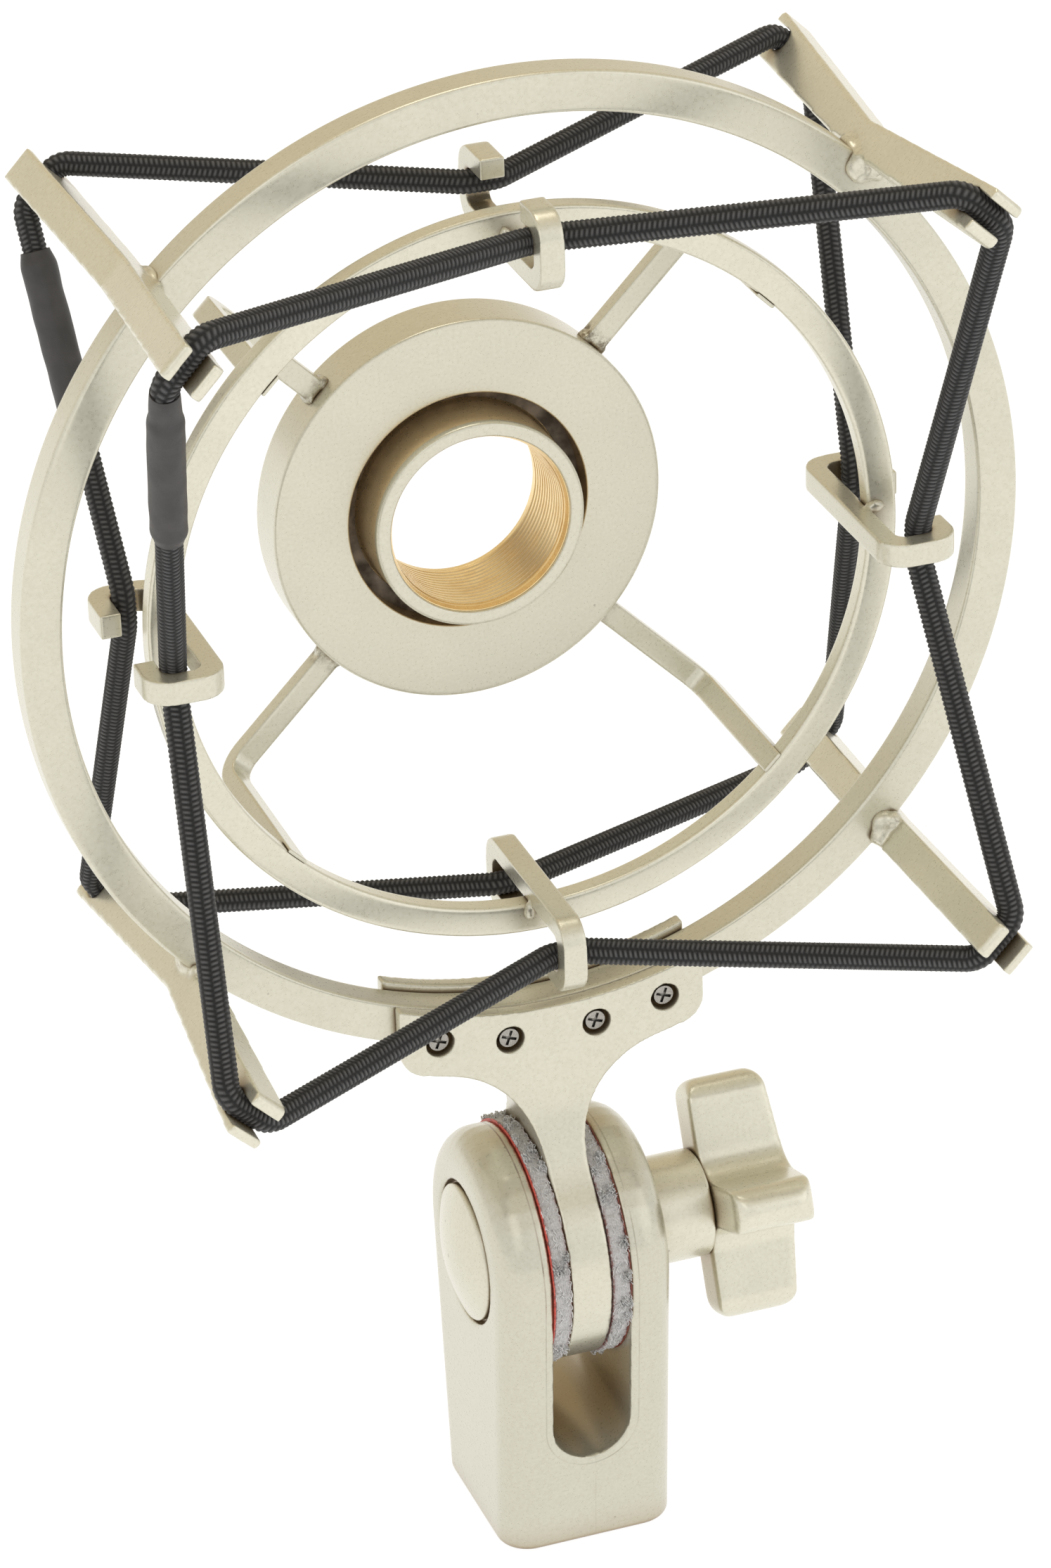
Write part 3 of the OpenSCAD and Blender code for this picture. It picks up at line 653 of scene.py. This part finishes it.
def build_pads():
    for k, side in enumerate(("left", "right")):
        node = "friction_pad_" + side
        low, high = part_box(node)
        bore, outer = radii(node, PIVOT, 0)
        corners = [(bore, low.x, 0), (outer, low.x, 0.25 * MM), (outer, high.x, 0.25 * MM), (bore, high.x, 0)]
        pad = lathe("fibre_pad_" + side, corners, PIVOT, 0, 700)
        mark(pad, "edge", [1 - min(1, min(v.co.x - low.x, high.x - v.co.x) / (0.3 * MM)) for v in pad.data.vertices])
        fray(pad, outer, 0.45 * MM, k + 4)
        place(pad, "stand", "friction_fibre", FIBRE, node)
        strands(side, low.x, high.x, outer, k)
        film_node = "pad_film_" + side
        low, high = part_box(film_node)
        corners = [(bore, low.x, 0), (outer + 0.1 * MM, low.x, 0), (outer + 0.1 * MM, high.x, 0), (bore, high.x, 0)]
        film = lathe("red_film_" + side, corners, PIVOT, 0, 360)
        place(film, "stand", "adhesive_film", FILMS[side], film_node)


def fray(obj, outer, depth, seed):
    """Roughens the rim of a pad and leaves its faces flat."""
    shift = Vector((seed * 11.0, 0, 0))
    for v in obj.data.vertices:
        radial = Vector((0, v.co.y - PIVOT.y, v.co.z - PIVOT.z))
        if radial.length > outer - 0.3 * MM:
            fine = noise.fractal((v.co + shift) * (1 / (0.55 * MM)), 0.8, 2.0, 3)
            v.co += radial.normalized() * depth * max(-0.9, min(0.35, fine * 0.6 - 0.2))


def add_thread(work, path, thick, sides=5):
    """A thread along a path of (x, radius, angle) about the pivot, thinning to its end."""
    rings = []
    for s, (x, r, a) in enumerate(path):
        w = thick * (1 - 0.7 * s / (len(path) - 1))
        turns = [2 * math.pi * j / sides for j in range(sides)]
        spots = [(x + w * math.sin(b), (r + w * math.cos(b))) for b in turns]
        rings.append([work.verts.new((px, PIVOT.y + pr * math.cos(a), PIVOT.z + pr * math.sin(a))) for px, pr in spots])
    for ring, after in zip(rings, rings[1:]):
        for j in range(sides):
            work.faces.new((ring[j], ring[(j + 1) % sides], after[(j + 1) % sides], after[j]))
    work.faces.new(list(reversed(rings[0])))
    work.faces.new(rings[-1])


def strands(side, low, high, outer, seed):
    """Loose white fibres on the rim of a pad: single curved threads, and tufts of them."""
    rng = np.random.default_rng(70 + seed)
    tufts = [(rng.uniform(0, 2 * math.pi), rng.uniform(low, high)) for _ in range(36)]
    work = bmesh.new()
    for k in range(1800):
        angle, x = rng.uniform(0, 2 * math.pi), rng.uniform(low, high)
        length, rise = rng.uniform(-2.0, 2.0) * MM, rng.uniform(0.05, 0.35) * MM
        if k % 3 > 0:
            spot = tufts[k % len(tufts)]
            angle, x = spot[0] + rng.normal(0, 0.025), spot[1] + rng.normal(0, 0.3 * MM)
            length *= 0.45
            rise *= 3.3
        drift, curl = rng.uniform(-1.1, 1.1) * MM, rng.uniform(-0.4, 0.4) * MM
        path = []
        for t in np.linspace(0, 1, 7):
            r = outer - 0.2 * MM + rise * math.sin(math.pi * min(1, t * 1.2))
            bent = x + drift * t + curl * math.sin(5 * t)
            path.append((min(max(bent, low), high), r, angle + length * t / outer))
        add_thread(work, path, rng.uniform(0.06, 0.13) * MM)
    bmesh.ops.recalc_face_normals(work, faces=work.faces)
    mesh = bpy.data.meshes.new("pad_strands_" + side)
    work.to_mesh(mesh)
    work.free()
    mesh.shade_smooth()
    place(new_object("pad_strands_" + side, mesh), "stand", "friction_fibre", STRAND)


# ---- cords ----

CORD_OUT = RING_OUT + 5.25 * MM          # the cord's distance from the ring's axis, in an arm's slot
CORD_SEAT = 4.4 * MM                     # and its distance from the arm's tips
HOOK_CORD_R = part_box("hook_right")[1].x - CRADLE.x - HOOK_BAR - CORD_R - 0.15 * MM
HOOK_CORD_IN = HOOK_BAR + CORD_R + 0.15 * MM
BEND_R = 2.4 * MM
CORD_SWELL = {"front": 1.04, "rear": 0.93}   # the front loop is the thicker of the two
COLUMNS = 8                              # visible strands round the cord
RIDGE = 0.72 * MM                        # spacing of the braid's ridges


def run_ends(centre, angle, radius, y, half):
    return [polar(centre, angle, radius, y, end * half) for end in (-1, 1)]


def loop_corners(side):
    """Corners of one cord loop: two at each hook and two at each arm, in turn."""
    arms = [node_angle("arm_" + n, RING) for n in ("top_right", "top_left", "bottom_left", "bottom_right")]
    corners = []
    for k in range(4):
        y = HOOK_REACH[side] - side * HOOK_CORD_IN
        corners += run_ends(CRADLE, k * math.pi / 2, HOOK_CORD_R, y, HOOK_WIDE / 2 + 0.6 * MM)
        corners += run_ends(RING, arms[k], CORD_OUT, side * (ARM_HALF - CORD_SEAT), ARM_THICK / 2 + 1.2 * MM)
    return corners


def bent_path(corners, radius, step):
    """Points about step apart along a line through corners, with rounded bends. Both ends stay in place."""
    dense = [np.array(corners[0])]
    for k in range(1, len(corners) - 1):
        before, at, after = (np.array(corners[k + d]) for d in (-1, 0, 1))
        u, v = before - at, after - at
        reach = min(radius, 0.5 * np.linalg.norm(u), 0.5 * np.linalg.norm(v))
        first, last = at + u / np.linalg.norm(u) * reach, at + v / np.linalg.norm(v) * reach
        for s in np.linspace(0, 1, 16):
            dense.append((1 - s) ** 2 * first + 2 * s * (1 - s) * at + s * s * last)
    dense.append(np.array(corners[-1]))
    dense = np.array(dense)
    gaps = np.linalg.norm(np.diff(dense, axis=0), axis=1)
    travel = np.concatenate([[0], np.cumsum(gaps)])
    count = max(2, int(round(travel[-1] / step)))
    at = np.linspace(0, travel[-1], count + 1)
    return np.stack([np.interp(at, travel, dense[:, k]) for k in range(3)], -1), at


def path_frames(path):
    """Outward and sideways directions of the cord at each point of its path."""
    tangent = np.gradient(path, axis=0)
    tangent /= np.linalg.norm(tangent, axis=1)[:, None]
    out = path - np.array(RING)
    out[:, 1] = 0
    out -= np.sum(out * tangent, axis=1)[:, None] * tangent
    out /= np.linalg.norm(out, axis=1)[:, None]
    return out, np.cross(tangent, out)


def braid_height(travel, theta):
    """Share of full radius on the braid, 0 in the grooves and 1 on the crowns."""
    column = theta / (2 * math.pi) * COLUMNS
    index = np.floor(column)
    across = column - index
    lean = np.where(index % 2 == 0, 1.0, -1.0)
    phase = travel / RIDGE + 0.5 * (index % 2) + 0.42 * lean * (across - 0.5)
    ridge = np.abs(np.sin(math.pi * phase)) ** 0.75
    edge = np.sin(math.pi * across) ** 0.45
    return ridge * (0.35 + 0.65 * edge)


def cord_span(name, corners, swell, offset):
    """One stretch of braided cord from the middle of one run to the middle of the next."""
    step = 0.12 * MM
    around = 40
    path, travel = bent_path(corners, BEND_R, step)
    out, aside = path_frames(path)
    theta = np.linspace(0, 2 * math.pi, around, endpoint=False)[None, :]
    height = braid_height(travel[:, None] + offset, theta)
    radius = CORD_R * swell * (0.97 + 0.16 * height)
    points = path[:, None, :] + radius[..., None] * (
        np.cos(theta)[..., None] * out[:, None, :] + np.sin(theta)[..., None] * aside[:, None, :])
    obj = grid_object(name, points, False, True)
    mark(obj, "crown", height)
    obj.data.materials.append(BRAID)
    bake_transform(obj)
    return obj, travel[-1]


def midpoint(p, q):
    return (p + q) / 2


def build_cords():
    """Each loop is eight spans, so that each bends between one arm on the frame and one hook on the cradle."""
    for label, side in (("front", -1), ("rear", 1)):
        corners = loop_corners(side)
        count = len(corners)
        offset = 0.0
        for k in range(0, count, 2):
            here, there = corners[k:k + 2], [corners[(k + 2) % count], corners[(k + 3) % count]]
            line = [midpoint(*here), here[1], there[0], midpoint(*there)]
            name = f"{label}_cord_{k // 2 + 1}"
            piece, length = cord_span(name, line, CORD_SWELL[label], offset)
            if k == 0:
                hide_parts(f"{label}_cord")
            offset += length
        build_sleeve(label, corners)


def sleeve_outline(label, arm_end, along):
    """Outline of a sleeve as (place along the cord, radius): a neck, a fuller body, and a shrunk end."""
    away = points_of(f"{label}_cord_sleeve") - np.array(arm_end)
    travel = away @ np.array(along)
    reach = np.linalg.norm(away - travel[:, None] * np.array(along), axis=1)
    body = reach.max()
    start, length = travel.min(), np.ptp(travel)
    neck = travel[reach > body - 0.1 * MM].min() - start
    tight = CORD_R + 0.45 * MM
    keys = np.array([(0, tight - 0.1 * MM), (0.4 * MM, tight), (neck, tight + 0.1 * MM), (neck + 1.4 * MM, body),
                     (length - 1.6 * MM, body), (length - 0.6 * MM, tight), (length, tight - 0.1 * MM)])
    place_s = np.arange(0, length, 0.15 * MM)
    radius = np.interp(place_s, keys[:, 0], keys[:, 1])
    smooth = np.convolve(np.pad(radius, 3, mode="edge"), np.ones(7) / 7, mode="valid")
    return start + place_s, smooth


def build_sleeve(label, corners):
    """Heat-shrink sleeve on the span from the top left arm down to the left hook."""
    arm_end, hook_end = corners[7], corners[8]
    along = (hook_end - arm_end).normalized()
    out = arm_end - RING
    out.y = 0
    out = (out - out.dot(along) * along).normalized()
    aside = along.cross(out)
    outer_s, outer_r = sleeve_outline(label, arm_end, along)
    inner_s = outer_s[::-4]
    place_s = np.concatenate([outer_s, inner_s])
    radius = np.concatenate([outer_r, np.full(len(inner_s), CORD_R + 0.03 * MM)])
    theta = np.linspace(0, 2 * math.pi, 64, endpoint=False)
    points = np.zeros((len(theta), len(place_s), 3))
    for i, angle in enumerate(theta):
        ray = np.array(math.cos(angle) * out + math.sin(angle) * aside)
        for j, (s, r) in enumerate(zip(place_s, radius)):
            wrinkle = 0.0
            if j < len(outer_s):
                spot = Vector((math.cos(angle) * 1.2, math.sin(angle) * 1.2, s / (3.5 * MM)))
                wrinkle = 0.11 * MM * noise.noise(spot + Vector((len(label), 0, 0)))
            points[i, j] = np.array(arm_end + along * s) + (r + wrinkle) * ray
    sleeve = grid_object(f"{label}_shrink_sleeve", points, True, False)
    sleeve.data.materials.append(TUBE)
    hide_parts(f"{label}_cord_sleeve")
    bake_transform(sleeve)


# ---- CAD nodes that are shown as they are ----

def paint_cad_nodes():
    for node, material in (("saddle_screws", NICKEL), ("knob_insert", STEEL), ("collar_retaining_ring", SPRING)):
        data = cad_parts[node].data
        data.materials.clear()
        data.materials.append(material)


# ---- stage, light and camera ----

def build_floor():
    size = 4.0
    mesh = bpy.data.meshes.new("floor")
    mesh.from_pydata([(-size, -size, 0), (size, -size, 0), (size, size, 0), (-size, size, 0)], [], [(0, 1, 2, 3)])
    floor = new_object("floor", mesh)
    floor.location.z = -0.2 * MM
    n = Nodes("floor")
    tint = n.mix(n.noise(0.4), (0.97, 0.97, 0.97, 1), (1.0, 1.0, 1.0, 1))
    mesh.materials.append(n.done(Base_Color=grey(0.2), Roughness=0.9, Emission_Color=tint, Emission_Strength=0.94))


def build_world():
    """White below and in front, dim and warm above and behind, as in a photo tent open at its back."""
    world = bpy.data.worlds.new("studio")
    bpy.context.scene.world = world
    world.use_nodes = True
    tree = world.node_tree
    coords = tree.nodes.new("ShaderNodeTexCoord")
    slope = tree.nodes.new("ShaderNodeVectorMath")
    slope.operation = "DOT_PRODUCT"
    slope.inputs[1].default_value = (0, 0.3, 0.5)
    tree.links.new(coords.outputs["Generated"], slope.inputs[0])
    ramp = tree.nodes.new("ShaderNodeValToRGB")
    ramp.color_ramp.elements[0].position = 0.06
    ramp.color_ramp.elements[0].color = (1.0, 1.0, 1.0, 1)
    ramp.color_ramp.elements[1].position = 0.5
    ramp.color_ramp.elements[1].color = (0.77, 0.66, 0.465, 1)
    tree.links.new(slope.outputs["Value"], ramp.inputs[0])
    background = tree.nodes["Background"]
    tree.links.new(ramp.outputs[0], background.inputs[0])
    background.inputs[1].default_value = 0.93


def add_area(name, spot, target, size, power, colour):
    light = bpy.data.lights.new(name, "AREA")
    light.energy = power
    light.size = size
    light.color = colour
    obj = bpy.data.objects.new(name, light)
    bpy.context.scene.collection.objects.link(obj)
    obj.location = spot
    obj.rotation_euler = (Vector(target) - Vector(spot)).to_track_quat("-Z", "Y").to_euler()


def build_lights():
    target = (0, 0, RING.z * 0.8)
    add_area("key", (-0.6, -1.1, 1.1), target, 0.8, 0.9, (1, 0.99, 0.97))
    add_area("fill", (1.0, -1.1, 0.7), target, 1.0, 1.3, (1, 1, 1))
    add_area("top", (0.1, 0.2, 1.3), target, 0.5, 1.6, (1, 0.98, 0.94))


def build_camera():
    """Camera at the viewing angle of the reference."""
    azimuth, elevation, roll = math.radians(-18.915), math.radians(27.411), math.radians(-2.108)
    distance, lens = 0.8431, 136.19
    target = Vector((-5.70, -13.01, 129.71)) * MM
    back = Vector((math.sin(azimuth) * math.cos(elevation), -math.cos(azimuth) * math.cos(elevation), math.sin(elevation)))
    level = Vector((math.cos(azimuth), math.sin(azimuth), 0))
    upright = back.cross(level)
    right = math.cos(roll) * level + math.sin(roll) * upright
    up = back.cross(right)
    data = bpy.data.cameras.new("camera")
    data.lens = lens
    data.clip_start, data.clip_end = 0.05, 20
    camera = bpy.data.objects.new("camera", data)
    bpy.context.scene.collection.objects.link(camera)
    turn = Matrix((right, up, back)).transposed().to_4x4()
    camera.matrix_world = Matrix.Translation(target + back * distance) @ turn
    bpy.context.scene.camera = camera
    bpy.context.scene.view_settings.view_transform = "Standard"


build_rings()
build_hub()
build_collar()
build_thread()
build_arms()
build_hooks()
build_spokes()
build_castings()
build_spacer()
build_bolt()
build_pads()
build_cords()
paint_cad_nodes()
build_floor()
build_world()
build_lights()
build_camera()
